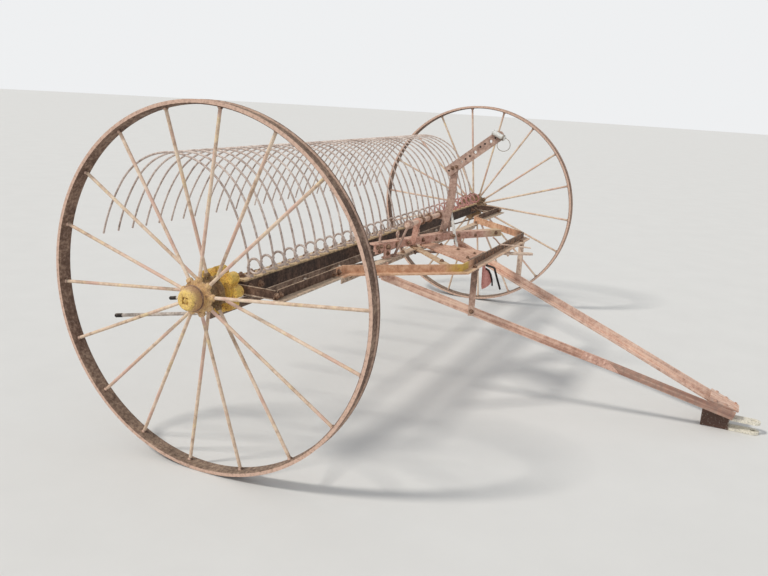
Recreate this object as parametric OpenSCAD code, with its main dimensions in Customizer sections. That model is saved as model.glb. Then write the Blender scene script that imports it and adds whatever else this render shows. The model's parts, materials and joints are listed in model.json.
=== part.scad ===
// Dump hay rake on two spoked steel wheels, with a drawn hitch.
// X runs along the wheel axis, the hitch points to -Y, the teeth arch to +Y
// and the ground is Z = 0. The origin is the middle of the footprint.

/* [Wheels] */
// Outside diameter of a wheel
wheel_d = 1400; // [1200:10:1500]
// Distance between the middles of the two rims
wheel_track = 3196; // [2840:4:3400]
// Width of a rim
rim_w = 60; // [50:2:80]
// Depth of a rim, from its raised edge to its inner face
rim_depth = 17; // [14:1:26]
// Depth of the groove round the tread
groove_depth = 5; // [2:1:8]
// Number of spoke places round a wheel
spoke_count = 18; // [14:2:22]
// Diameter of a spoke
spoke_d = 13; // [10:1:16]
// Angle of the first spoke of the left wheel
spoke_turn_left = 14.5; // [0:0.5:20]
// Angle of the first spoke of the right wheel
spoke_turn_right = 7; // [0:0.5:20]
// Place in the left wheel whose spoke is lost
lost_spoke = 14; // [0:1:17]

/* [Hubs] */
// Diameter of the hub barrel
hub_d = 84; // [70:1:100]
// Diameter of the two hub flanges that hold the spokes
hub_flange_d = 122; // [112:1:150]
// Thickness of a hub flange
hub_flange_t = 14; // [14:1:20]
// Distance from the rim's middle to each hub flange's middle
hub_flange_x = 38; // [30:1:46]
// Diameter of the domed hub cap
cap_d = 92; // [86:1:104]
// Length of the domed hub cap
cap_len = 46; // [36:1:60]
// Diameter of the ratchet casting across its lobes
ratchet_d = 186; // [160:1:210]
// Number of lobes on the ratchet
ratchet_lobes = 8; // [6:1:10]
// Length of the ratchet casting
ratchet_len = 56; // [40:1:60]

/* [Rake head] */
// Leg of the rake head's angle beam
beam_leg = 63; // [56:1:70]
// Thickness of the beam's legs
beam_t = 7; // [5:1:9]
// Distance from the wheel axis forward to the beam's face
beam_front = 63; // [60:1:70]
// Height of the beam's top above the wheel axis
beam_rise = 31; // [31:1:40]
// Diameter of the spindles that the wheels turn on
spindle_d = 36; // [30:1:40]
// Length of the casting that holds a spindle in the beam
spindle_block = 130; // [90:5:180]

/* [Teeth] */
// Number of teeth, a multiple of eight
tooth_count = 32; // [16:8:40]
// Distance from the beam's end to the first tooth
tooth_margin = 66; // [50:1:120]
// Diameter of a tooth's rod
tooth_d = 9; // [8:1:11]
// Outside diameter of a tooth's coil
coil_d = 68; // [60:1:72]
// Height of the coils' middle above the beam's top
coil_lift = 45; // [45:1:56]
// Distance from the wheel axis forward to the coils' middle
coil_front = 66; // [60:1:70]
// Heading of a tooth where it leaves its coil
tooth_heading = 80; // [77:1:82]
// Radius of the tooth's straight rising part
tooth_rise_r = 760; // [650:10:850]
// Turn of the rising part
tooth_rise_a = 20; // [16:1:22]
// Radius of the tooth's crown
tooth_crown_r = 320; // [260:5:360]
// Turn of the crown
tooth_crown_a = 115; // [100:1:120]
// Radius of the tooth's falling part
tooth_fall_r = 750; // [600:10:900]
// Turn of the falling part
tooth_fall_a = 20; // [12:1:22]

/* [Frame] */
// Leg of the frame's angle bars
rail_leg = 40; // [34:1:50]
// Thickness of the frame's angle bars
rail_t = 6; // [5:1:8]
// Height of the frame rails' middle above the wheel axis
rail_lift = 0; // [-6:1:6]
// Distance from the wheel axis to the side rails
side_rail_y = 222; // [200:1:260]
// Distance from the wheel axis to the front rail's middle part
front_rail_y = 640; // [560:5:700]
// Half length of the front rail's middle part
front_rail_half = 540; // [450:5:600]
// Distance from a rim's middle in to the rail's outer bend
rail_bend_inset = 688; // [660:1:760]
// Distance from a rim's middle in to the splice of the rails
rail_splice_inset = 613; // [560:1:640]
// Distance from a rim's middle in to the cut end of a side rail
side_rail_inset = 128; // [120:1:134]

/* [Hitch] */
// Distance from the wheel axis to the nose of the clevis
front_reach = 1990; // [1900:5:2100]
// Leg of the tongue's angle bars
tongue_leg = 42; // [38:1:50]
// Width of the clevis straps
clevis_w = 60; // [50:1:70]
// Thickness of a clevis strap
clevis_t = 12; // [10:1:16]
// Free height between the clevis straps
clevis_gap = 36; // [30:1:45]
// Diameter of the hitch pin's hole
hitch_hole_d = 24; // [18:0.5:28]

/* [Cleaner and lever] */
// Diameter of a cleaner rod
cleaner_d = 15; // [10:1:18]
// Distance from the wheel axis back to the rods' tips
cleaner_reach = 600; // [500:5:640]
// Height of the trip arm's root above the frame rails
arm_rise = 394; // [350:1:430]
// Diameter of the dump shaft in front of the coils
dump_shaft_d = 25; // [20:1:30]

/* [Hidden] */
wheel_r = wheel_d / 2;
axis_z = wheel_r;
half_track = wheel_track / 2;
// Running clearance round a spindle and clearance of pieces that seat
run_gap = 0.05;
seat_gap = 0.3;
// Free way along the axis between bodies that turn against each other
side_gap = 6;
// How far a cutting body runs past what it cuts
over = 1;

// Wheel
hub_half = hub_flange_x + 28;
rim_in_r = wheel_r - rim_depth;
rim_lip = 8;
rim_chamfer = 4;
rim_inner_edge = 7;
spoke_root_r = hub_flange_d / 2 - 17;
cap_skirt = 12;
nut_recess = 26;
nut_depth = 9;
lobe_r = 25;
lobe_front = 4;
lobe_back = 8;

// Rake head
bearing_t = 34;
beam_len = wheel_track - 2 * (hub_half + ratchet_len + bearing_t + 2 * side_gap);
bearing_x = beam_len / 2 + side_gap + bearing_t / 2;
spindle_end = half_track + hub_half - 2;
spindle_grip = 5;
block_h = 54;
block_back = 24;
tooth_sets = 8;
teeth_per_set = tooth_count / tooth_sets;
tooth_pitch = (beam_len - 2 * tooth_margin) / (tooth_count - 1);
coil_r = (coil_d - tooth_d) / 2;
draw_step = 0.3;
tooth_arcs = [
    // radius, turn
    [tooth_rise_r, tooth_rise_a],
    [tooth_crown_r, tooth_crown_a],
    [tooth_fall_r, tooth_fall_a],
];
tooth_start = [-coil_front, beam_rise + coil_lift] + coil_r * [cos(tooth_heading - 90), sin(tooth_heading - 90)];

// Where a path of clockwise arcs ends, from its start and heading
function path_end(p, h, arcs, i = 0) =
    i == len(arcs) ? [p, h]
    : path_end(p + arcs[i][0] * [sin(h) - sin(h - arcs[i][1]), cos(h - arcs[i][1]) - cos(h)],
               h - arcs[i][1], arcs, i + 1);
tooth_end = path_end(tooth_start, tooth_heading, tooth_arcs);
tip_d = tooth_d - (len(tooth_arcs) - 1) * draw_step;
coil_pitch = tooth_d + 1;
coil_tip = asin(coil_pitch / (4 * coil_r));
foot_t = 9;
foot_w = 22;
foot_set = 3;
foot_len = 38;
foot_slope = 5;

// The footprint's middle lies halfway between the clevis and the rearmost point
rear_reach = max(wheel_r, tooth_end[0][0] + tip_d / 2 * sin(-tooth_end[1]));
axle_y = (front_reach - rear_reach) / 2;

// Frame
plate_t = 8;
rail_z = axis_z + rail_lift;
rail_top = rail_z + rail_leg / 2;
cross_z = rail_z - rail_leg / 2;
side_rail_end = half_track - side_rail_inset;
rail_splice_x = half_track - rail_splice_inset;
rail_bend_x = half_track - rail_bend_inset;
rail_plan = [
    [-rail_splice_x, -side_rail_y],
    [-rail_bend_x, -side_rail_y],
    [-front_rail_half, -front_rail_y],
    [front_rail_half, -front_rail_y],
    [rail_bend_x, -side_rail_y],
    [rail_splice_x, -side_rail_y],
];
splice_lap = 45;
end_cut = 40;
bearing_arm_t = 12;
bearing_arm_w = rail_leg - 4;
bearing_wall = 13;
cross_inset = 60;

// Hitch
clevis_top = 2 * clevis_t + clevis_gap;
clevis_jaw = clevis_w + 75;
clevis_len = 260;
clevis_seat = 12;
clevis_chamfer = 12;
kink_y = front_reach - 710;
meet_y = front_reach - 125;
meet_x = clevis_w / 2 + 28;
meet_z = clevis_top + 2;
tongue_drop = 93;
tongue_x = front_rail_half + 5;
tongue_top_z = cross_z - tongue_drop;
kink_share = 0.368;
kink_x = tongue_x * 0.428;
lug_w = 44;
lug_sink = 6;
tongue_path = [
    // x, y, z of the left bar's lower outer edge
    [-tongue_x, -side_rail_y - 14, tongue_top_z],
    [-kink_x, -kink_y, meet_z + kink_share * (tongue_top_z - meet_z)],
    [-meet_x, -meet_y, meet_z],
];
lap_back = 130;
lap_front = 8;
lap_inset = 14;
strap_w = 30;
strap_foot = 2;
strap_clip_w = 40;
strap_y = front_rail_y + 20;

// Levers
lever_w = 46;
lever_h = 36;
lever_top = rail_top + lever_h;
lever_plan = [
    // x, y of the upright leg's front face
    [-1.035 * front_rail_half, 21 - side_rail_y],
    [-0.046 * front_rail_half, 285 - front_rail_y],
    [0.59 * front_rail_half, 74 - front_rail_y],
];
foot_share = 0.16;
foot_clip_w = 44;
foot_clip_len = 20;
brace_w = 35;
brace_front_from = [-0.454 * front_rail_half, -32 - side_rail_y];
brace_front_to = [-1.11 * front_rail_half, 50 - front_rail_y];
brace_rear_plan = [
    [-0.398 * front_rail_half, 346 - front_rail_y],
    [-0.25 * front_rail_half, 323 - front_rail_y],
    [-0.315 * front_rail_half, -front_rail_y],
    [-0.907 * front_rail_half, -front_rail_y],
];
post_y = 306 - front_rail_y;
post_knee_z = rail_z + 210;
post_sides = [
    // lean forward, half width: at the foot, the knee and the top
    [0, 18],
    [32, 22],
    [42, 18],
];
post_base = 48;
post_base_w = 30;
post_base_t = 6;
arm_root_z = rail_z + arm_rise;
arm_t = 10;
arm_len = 336;
arm_w = 52;
arm_tilt = 38.5;
arm_back = 13;
arm_seat = 24;
arm_eye = 40;
arm_hole_d = 16;
arm_holes = [0.28, 0.55, 0.84];
pin_d = 24;
pin_len = 71;
pin_fall = 24;
pin_stub_d = 12;
shaft_y = post_y + 28;
shaft_z = rail_top + 125;
shaft_end = 20;
stand_x = -0.75 * front_rail_half;
stand_w = 34;
eye_wall = 9;
eye_half = 10;

// Cleaner
cleaner_y = 96;
cleaner_z = rail_z - 132;
cleaner_tip_z = cleaner_z - 98;
cleaner_bar_w = 40;
cleaner_step = 4 * tooth_pitch;
cleaner_lead = 14;
cleaner_slope = 3;
cleaner_arm_w = 30;
cleaner_arm_x = [half_track - 398, 0.8 * front_rail_half];

// Height of the left tongue bar's underside over the clevis, at a place along Y
function tongue_under(y) =
    let (a = tongue_path[1], b = tongue_path[2],
         run = b - a, plan = run[0] * run[0] + run[1] * run[1],
         along = (run[0] * (-clevis_w / 4 - a[0]) + run[1] * (y - a[1])) / plan)
    a[2] + run[2] * along;

$fn = 48;

// Moves from the wheel axis' foot on the ground to the part's own origin
module at_axle() {
    translate([0, axle_y, 0]) children();
}

// Children drawn for the left side, mirrored where side is 1
module on_side(side) {
    mirror([side > 0 ? 1 : 0, 0, 0]) children();
}

// Extrudes a profile of [sideways, up] from point a to point b
module bar(a, b) {
    d = b - a;
    length = norm(d);
    translate(a)
        rotate([0, -asin(d[2] / length), atan2(d[1], d[0])])
            rotate([90, 0, 90]) linear_extrude(length) children();
}

// Angle section with its corner at the origin
module angle_section(side, up, t) {
    polygon([[0, 0], [side, 0], [side, t * sign(up)], [t * sign(side), t * sign(up)],
             [t * sign(side), up], [0, up]]);
}

// Flat section centred sideways, standing on the origin
module flat_section(w, t) {
    translate([-w / 2, 0]) square([w, t]);
}

// Plan path moved sideways by a distance, with mitred bends
function unit(v) = v / norm(v);
function left_of(v) = [-v[1], v[0]];
function shifted(path, d) = [
    for (i = [0:len(path) - 1])
        let (a = unit(path[max(i, 1)] - path[max(i, 1) - 1]),
             b = unit(path[min(i + 1, len(path) - 1)] - path[min(i, len(path) - 2)]),
             n = unit(left_of(a) + left_of(b)))
        path[i] + n * d / (n * left_of(b))
];
function reversed(path) = [for (i = [len(path) - 1:-1:0]) path[i]];

// Ribbon between two shifts of a plan path
module ribbon(path, from, to, h) {
    linear_extrude(h) polygon(concat(shifted(path, from), reversed(shifted(path, to))));
}

// Wheel, drawn with its axis along Z and outboard up

module rim_ring(inner) {
    half = rim_w / 2;
    rotate_extrude($fn = 120) polygon([
        [inner, -half + rim_inner_edge], [inner, half - rim_inner_edge],
        [rim_in_r + rim_chamfer, half], [wheel_r, half], [wheel_r, half - rim_lip],
        [wheel_r - groove_depth, half - rim_lip - rim_chamfer],
        [wheel_r - groove_depth, rim_lip + rim_chamfer - half],
        [wheel_r, rim_lip - half], [wheel_r, -half], [rim_in_r + rim_chamfer, -half],
    ]);
}

// Spokes go by turns to the inner and the outer hub flange
module spoke(i) {
    root_z = (i % 2 == 0 ? -1 : 1) * hub_flange_x;
    rise = rim_in_r - spoke_root_r;
    lean = atan2(root_z, rise);
    translate([spoke_root_r, 0, root_z])
        rotate([0, 90 + lean, 0]) cylinder(h = rise / cos(lean), d = spoke_d);
}

module spoke_set(turn, lost) {
    difference() {
        for (i = [0:spoke_count - 1]) {
            if (i != lost) rotate([0, 0, turn + i * 360 / spoke_count]) spoke(i);
        }
        hub_solid();
        rim_ring(rim_in_r - seat_gap);
    }
}

module hub_solid() {
    translate([0, 0, -hub_half]) cylinder(h = 2 * hub_half, d = hub_d);
    for (side = [-1, 1]) {
        translate([0, 0, side * hub_flange_x - hub_flange_t / 2])
            cylinder(h = hub_flange_t, d = hub_flange_d);
    }
}

module hub_core() {
    difference() {
        hub_solid();
        translate([0, 0, -hub_half - over])
            cylinder(h = 2 * (hub_half + over), d = spindle_d + 2 * run_gap);
    }
}

module cap_dome() {
    dome_r = cap_d / 2;
    difference() {
        rotate_extrude() intersection() {
            union() {
                square([dome_r, cap_skirt]);
                translate([0, cap_skirt]) circle(r = dome_r);
            }
            square([dome_r, cap_len]);
        }
        translate([-nut_recess / 2, -nut_recess / 2, cap_len - nut_depth])
            cube([nut_recess, nut_recess, nut_depth + over]);
    }
}

module ratchet_body() {
    lobe_h = ratchet_len - lobe_front - lobe_back;
    difference() {
        union() {
            cylinder(h = ratchet_len, d = ratchet_d - 2 * lobe_r);
            for (i = [0:ratchet_lobes - 1]) {
                rotate([0, 0, i * 360 / ratchet_lobes])
                    translate([ratchet_d / 2 - lobe_r, 0, lobe_front]) cylinder(h = lobe_h, r = lobe_r);
            }
        }
        translate([0, 0, -over]) cylinder(h = ratchet_len + 2 * over, d = spindle_d + 2 * run_gap);
    }
}

// Puts a wheel piece at the left or right end of the axis
module wheel_place(side) {
    at_axle() on_side(side)
        translate([-half_track, 0, axis_z]) rotate([0, -90, 0]) children();
}

module rim(side) {
    color("rosybrown") wheel_place(side) rim_ring(rim_in_r);
}

module spokes(side) {
    turn = side < 0 ? spoke_turn_left : spoke_turn_right;
    lost = side < 0 ? lost_spoke : -1;
    color("tan") wheel_place(side) spoke_set(turn, lost);
}

module hub(side) {
    color("darkkhaki") wheel_place(side) hub_core();
}

module ratchet(side) {
    color("goldenrod") wheel_place(side)
        translate([0, 0, -hub_half - ratchet_len]) ratchet_body();
}

module cap(side) {
    color("burlywood") wheel_place(side) translate([0, 0, hub_half]) cap_dome();
}

// Rake head

module rake_beam() {
    color("saddlebrown") at_axle()
        bar([-beam_len / 2, -beam_front, axis_z + beam_rise],
            [beam_len / 2, -beam_front, axis_z + beam_rise])
            angle_section(beam_leg, -beam_leg, beam_t);
}

// Block in the beam's end with the spindle that the wheel turns on
module spindle(side) {
    block_y = beam_t - beam_front;
    color("dimgray") at_axle() on_side(side) {
        translate([-beam_len / 2, block_y, axis_z + beam_rise - beam_t - block_h])
            cube([spindle_block, block_back - block_y, block_h]);
        translate([-spindle_end, 0, axis_z]) rotate([0, 90, 0])
            cylinder(h = spindle_end - beam_len / 2 + spindle_grip, d = spindle_d);
    }
}

// Bent round rod, from the +X axis round to an angle
module arc_rod(r, turn, d) {
    rotate_extrude(angle = turn) translate([r, 0]) circle(d = d);
}

// Chain of clockwise arcs that starts at the origin along +X, drawn thinner
// from arc to arc
module arc_chain(arcs, i = 0) {
    if (i < len(arcs)) {
        r = arcs[i][0];
        turn = arcs[i][1];
        translate([0, -r, 0]) rotate([0, 0, 90 - turn])
            arc_rod(r, turn, tooth_d - i * draw_step);
        translate([0, -r, 0]) rotate([0, 0, -turn]) translate([0, r, 0])
            arc_chain(arcs, i + 1);
    }
}

// One turn of coil as two half rings, each tipped so that their ends meet
module coil_turn() {
    translate([0, 0, -coil_r * sin(coil_tip)]) rotate([0, coil_tip, 0])
        rotate([180, 0, 0]) arc_rod(coil_r, 180, tooth_d + draw_step);
    translate([0, 0, -3 * coil_r * sin(coil_tip)]) rotate([0, -coil_tip, 0])
        arc_rod(coil_r, 180, tooth_d + 2 * draw_step);
}

// One tooth with its coil, tail and foot, in the [Y, Z] plane of the wheel axis
module tooth() {
    tail_len = (tooth_start[1] - beam_rise - foot_t / 2) / sin(tooth_heading);
    rotate([90, 0, 90]) {
        translate([tooth_start[0], tooth_start[1], 0]) rotate([0, 0, tooth_heading])
            arc_chain(tooth_arcs);
        translate([-coil_front, beam_rise + coil_lift, 0]) rotate([0, 0, tooth_heading - 90])
            coil_turn();
        translate([tooth_start[0], tooth_start[1], -coil_pitch])
            rotate([0, 0, tooth_heading]) rotate([0, -90, 0])
                cylinder(h = tail_len, d = tooth_d + 3 * draw_step);
        translate([-beam_front, beam_rise, -coil_pitch - foot_w / 2])
            linear_extrude(foot_w) polygon([
                [foot_set, 0], [foot_len, 0],
                [foot_len - foot_slope, foot_t], [foot_set + foot_slope, foot_t],
            ]);
    }
}

module teeth(set) {
    first = (set - 1) * teeth_per_set;
    color("lightgray") at_axle() translate([0, 0, axis_z])
        for (i = [first:first + teeth_per_set - 1]) {
            translate([(i - (tooth_count - 1) / 2) * tooth_pitch, 0, 0]) tooth();
        }
}

// Frame

module front_rail() {
    color("peru") at_axle() translate([0, 0, cross_z]) {
        ribbon(rail_plan, 0, rail_t, rail_leg);
        ribbon(rail_plan, 0, rail_t - rail_leg, rail_t);
    }
}

// Side rail with its end cut off askew, and the lap behind its splice
module side_rail(side) {
    rail_len = side_rail_end - rail_splice_x;
    lap_rise = 2;
    color("sienna") at_axle() on_side(side) {
        difference() {
            translate([-side_rail_end, -side_rail_y, cross_z]) {
                cube([rail_len, rail_t, rail_leg]);
                translate([0, rail_t - rail_leg, 0]) cube([rail_len, rail_leg, rail_t]);
            }
            translate([-side_rail_end, -side_rail_y - over, rail_top]) rotate([0, 45, 0])
                cube([end_cut, rail_leg, end_cut], center = true);
        }
        translate([-rail_splice_x - splice_lap, rail_t - side_rail_y, cross_z + lap_rise])
            cube([2 * splice_lap, rail_t, rail_leg - 2 * lap_rise]);
    }
}

// Arm that hangs the frame on the spindle behind the wheel
module bearing(side) {
    arm_len_y = side_rail_y - rail_t;
    color("sienna") at_axle() on_side(side)
        difference() {
            union() {
                translate([-bearing_x - bearing_arm_t / 2, -arm_len_y, axis_z - bearing_arm_w / 2])
                    cube([bearing_arm_t, arm_len_y, bearing_arm_w]);
                translate([-bearing_x - bearing_t / 2, 0, axis_z]) rotate([0, 90, 0])
                    cylinder(h = bearing_t, d = spindle_d + 2 * bearing_wall);
            }
            translate([-bearing_x - bearing_t, 0, axis_z]) rotate([0, 90, 0])
                cylinder(h = 2 * bearing_t, d = spindle_d + 2 * run_gap);
        }
}

module cross_bar() {
    half = rail_splice_x - cross_inset;
    color("sienna") at_axle()
        bar([-half, rail_t - side_rail_y, cross_z], [half, rail_t - side_rail_y, cross_z])
            angle_section(-rail_leg, -rail_leg, rail_t);
}

// Tongue bar with the lug that holds its root under the cross bar
module tongue_bar(side) {
    lug_y = -side_rail_y - seat_gap - lug_w;
    color("indianred") at_axle() on_side(side) {
        for (i = [0:len(tongue_path) - 2]) {
            bar(tongue_path[i], tongue_path[i + 1]) angle_section(tongue_leg, tongue_leg, rail_t);
        }
        translate([rail_t / 2 - tongue_x, lug_y, tongue_top_z + lug_sink])
            cube([plate_t, lug_w, cross_z - rail_t - seat_gap - tongue_top_z - lug_sink]);
    }
}

// Lap plate on top of the two tongue bars where they meet
module hitch_plates() {
    run = tongue_path[2] - tongue_path[1];
    plan = norm([run[0], run[1]]);
    drop = atan2(-run[2], plan);
    top = tongue_path[2] + tongue_leg * [0, -sin(drop), cos(drop)];
    pitch = atan2(-run[2], -run[1]);
    wide = meet_x + lap_back * run[0] / plan - lap_inset / 4;
    near = meet_x - lap_inset;
    color("indianred") at_axle()
        translate([0, top[1], top[2] + seat_gap]) rotate([0, 0, -90]) rotate([0, pitch, 0])
            linear_extrude(plate_t) polygon([
                [-lap_back, -wide], [-lap_back, wide], [lap_front, near], [lap_front, -near],
            ]);
}

// Forged clevis: two straps with a wedge behind them, seated under the tongue
module clevis() {
    nose = -front_reach;
    rear = nose + clevis_len;
    seat = nose + clevis_jaw + clevis_seat;
    hole_y = nose + clevis_w / 2;
    color("ivory") at_axle() difference() {
        intersection() {
            translate([-clevis_w / 2, 0, 0]) rotate([90, 0, 90]) linear_extrude(clevis_w) polygon([
                [nose, 0], [rear, 0], [rear, tongue_under(rear) - seat_gap],
                [seat, tongue_under(seat) - seat_gap],
                [seat - clevis_chamfer, clevis_top], [nose, clevis_top],
                [nose, clevis_top - clevis_t], [nose + clevis_jaw, clevis_top - clevis_t],
                [nose + clevis_jaw, clevis_t], [nose, clevis_t],
            ]);
            linear_extrude(4 * clevis_top) union() {
                translate([-clevis_w / 2, hole_y]) square([clevis_w, clevis_len]);
                translate([0, hole_y]) circle(d = clevis_w);
            }
        }
        translate([0, hole_y, -over]) cylinder(h = clevis_top + 2 * over, d = hitch_hole_d);
    }
}

// Strap from under the front rail's flange down to the tongue bar
module hanger(side) {
    a = tongue_path[0];
    b = tongue_path[1];
    foot = a + (strap_y + a[1]) / (a[1] - b[1]) * (b - a);
    top_z = cross_z - seat_gap;
    color("gray") at_axle() on_side(side) translate([foot[0], foot[1], 0]) {
        rotate([0, 0, atan2(b[1] - a[1], b[0] - a[0])])
            translate([-strap_w / 2, -plate_t - seat_gap, foot[2]])
                cube([strap_w, plate_t, top_z - foot[2] - strap_foot]);
        translate([-strap_clip_w / 2, -strap_w / 2, top_z - plate_t])
            cube([strap_clip_w, strap_w, plate_t]);
    }
}

// Bent angle bar from behind the cross bar towards the right bend of the rail
module lever_bar() {
    color("peru") at_axle() translate([0, 0, rail_top]) {
        ribbon(lever_plan, 0, rail_t, lever_h);
        translate([0, 0, lever_h - rail_t]) ribbon(lever_plan, 0, lever_w, rail_t);
    }
}

// Clip that carries the lever bar on the cross bar
module lever_foot() {
    run = lever_plan[1] - lever_plan[0];
    at = lever_plan[0] + foot_share * run;
    color("peru") at_axle() translate([at[0], at[1], cross_z + seat_gap])
        rotate([0, 0, atan2(run[1], run[0])])
            translate([-foot_clip_w / 2, -plate_t - seat_gap, 0]) {
                cube([foot_clip_w, plate_t, lever_top - cross_z - rail_t]);
                cube([foot_clip_w, foot_clip_len, plate_t]);
            }
}

// Plan of a brace under the lever bar, cut off behind the front rail's web
module brace_sheet() {
    color("burlywood") at_axle() difference() {
        translate([0, 0, rail_top - plate_t - seat_gap]) linear_extrude(plate_t) children();
        translate([0, 0, cross_z]) ribbon(rail_plan, -rail_leg, rail_t + seat_gap, 2 * rail_leg);
    }
}

module brace_front() {
    path = [brace_front_from, brace_front_to];
    brace_sheet() polygon(concat(shifted(path, -brace_w / 2), reversed(shifted(path, brace_w / 2))));
}

module brace_rear() {
    brace_sheet() polygon(brace_rear_plan);
}

// Round shaft from its stand on the cross bar to the lever post
module dump_shaft() {
    from_x = stand_x - 2 * eye_half - side_gap;
    color("tan") at_axle() translate([from_x, shaft_y, shaft_z]) rotate([0, 90, 0])
        cylinder(h = shaft_end - from_x, d = dump_shaft_d);
}

module shaft_stand() {
    foot = [stand_x, -side_rail_y - stand_w / 2, cross_z + plate_t / 2];
    eye = [stand_x, shaft_y, shaft_z];
    reach = 1 - (dump_shaft_d / 2 + eye_wall / 2) / norm(eye - foot);
    color("gray") at_axle() difference() {
        union() {
            bar(foot, foot + reach * (eye - foot))
                translate([-eye_half + over, -plate_t / 2]) square([2 * (eye_half - over), plate_t]);
            translate(eye - [eye_half, 0, 0]) rotate([0, 90, 0])
                cylinder(h = 2 * eye_half, d = dump_shaft_d + 2 * eye_wall);
            translate([stand_x - stand_w / 2, -side_rail_y - stand_w, cross_z])
                cube([stand_w, stand_w, plate_t]);
        }
        translate(eye - [2 * eye_half, 0, 0]) rotate([0, 90, 0])
            cylinder(h = 4 * eye_half, d = dump_shaft_d + 2 * seat_gap);
    }
}

// Upright plate on the lever bar, with the shaft's eye behind it
module lever_post() {
    foot_z = lever_top + seat_gap;
    heights = [foot_z, post_knee_z, arm_root_z + arm_seat];
    eye_d = dump_shaft_d + 2 * eye_wall;
    color("gray") at_axle() {
        rotate([90, 0, 90]) linear_extrude(plate_t) difference() {
            union() {
                polygon([
                    for (i = [0:2]) [post_y - post_sides[i][0] - post_sides[i][1], heights[i]],
                    for (i = [2:-1:0]) [post_y - post_sides[i][0] + post_sides[i][1], heights[i]],
                ]);
                translate([shaft_y, shaft_z]) circle(d = eye_d);
                translate([post_y, shaft_z - eye_d / 2]) square([shaft_y - post_y, eye_d]);
            }
            translate([shaft_y, shaft_z]) circle(d = dump_shaft_d + 2 * seat_gap);
        }
        translate([plate_t / 2 - post_base / 2, post_y - post_base_w / 2, foot_z])
            cube([post_base, post_base_w, post_base_t]);
    }
}

// Top rear corner of the trip arm, in the [Y, Z] plane
function arm_start() = [post_y + arm_back, arm_root_z];

// Flat arm with a row of holes, tilted up and forward on the post's left face
module trip_arm() {
    start = arm_start();
    color("gray") at_axle() translate([-arm_t - seat_gap, start[0], start[1]])
        rotate([0, 90, 0]) rotate([0, 0, -90 - arm_tilt])
            linear_extrude(arm_t) difference() {
                union() {
                    square([arm_len, arm_w]);
                    translate([arm_len, arm_w / 2]) circle(d = arm_eye);
                }
                for (at = arm_holes) translate([at * arm_len, arm_w / 2]) circle(d = arm_hole_d);
                translate([arm_len, arm_w / 2]) circle(d = pin_stub_d + 2 * seat_gap);
            }
}

// Round cross pin for the trip rope, its stub through the arm's end
module rope_pin() {
    end = arm_start() + arm_len * [-cos(arm_tilt), sin(arm_tilt)]
        + arm_w / 2 * [-sin(arm_tilt), -cos(arm_tilt)];
    out = arm_t + 2 * seat_gap + pin_d / 2;
    color("white") at_axle() translate([-out, end[0], end[1]]) {
        rotate([90 + pin_fall, 0, 0]) cylinder(h = pin_len, d = pin_d, center = true);
        rotate([0, 90, 0]) cylinder(h = out + arm_t, d = pin_stub_d);
    }
}

// Cleaner: the fixed rods that strip the hay from between the teeth

module cleaner_place() {
    for (i = [-4:4]) translate([i * cleaner_step, 0, 0]) children();
}

// Rod of the cleaner, from just ahead of its bar to its tip
module cleaner_rod(d) {
    bar([0, cleaner_y - cleaner_lead, cleaner_z + cleaner_slope],
        [0, cleaner_reach, cleaner_tip_z]) circle(d = d);
}

module cleaner_bar() {
    color("sienna") at_axle() difference() {
        translate([-beam_len / 2, cleaner_y, cleaner_z - cleaner_bar_w / 2])
            cube([beam_len, plate_t, cleaner_bar_w]);
        cleaner_place() cleaner_rod(cleaner_d + 2 * seat_gap);
    }
}

module cleaner_rods() {
    color("gray") at_axle() cleaner_place() cleaner_rod(cleaner_d);
}

// Flat arms that carry the cleaner's bar under the rake head
module cleaner_arms() {
    color("sienna") at_axle()
        for (x = cleaner_arm_x, side = [-1, 1]) {
            from_z = x > rail_splice_x ? cross_z + 13 : cross_z - 20;
            bar([side * x, rail_t + seat_gap - side_rail_y, from_z],
                [side * x, cleaner_y - 3, cleaner_z - 2]) flat_section(cleaner_arm_w, plate_t);
        }
}

rake_beam();
spindle(-1);  // spindle_left
spindle(1);  // spindle_right
teeth(1);  // teeth_1
teeth(2);  // teeth_2
teeth(3);  // teeth_3
teeth(4);  // teeth_4
teeth(5);  // teeth_5
teeth(6);  // teeth_6
teeth(7);  // teeth_7
teeth(8);  // teeth_8
rim(-1);  // rim_left
spokes(-1);  // spokes_left
hub(-1);  // hub_left
ratchet(-1);  // ratchet_left
cap(-1);  // cap_left
rim(1);  // rim_right
spokes(1);  // spokes_right
hub(1);  // hub_right
ratchet(1);  // ratchet_right
cap(1);  // cap_right
front_rail();
side_rail(-1);  // side_rail_left
side_rail(1);  // side_rail_right
bearing(-1);  // bearing_left
bearing(1);  // bearing_right
cross_bar();
tongue_bar(-1);  // tongue_bar_left
tongue_bar(1);  // tongue_bar_right
hitch_plates();
clevis();
hanger(-1);  // hanger_left
hanger(1);  // hanger_right
lever_bar();
lever_foot();
brace_front();
brace_rear();
dump_shaft();
shaft_stand();
lever_post();
trip_arm();
rope_pin();
cleaner_bar();
cleaner_rods();
cleaner_arms();
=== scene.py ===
import json
import math
import random

import bmesh
import bpy
from mathutils import Matrix, Vector


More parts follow.
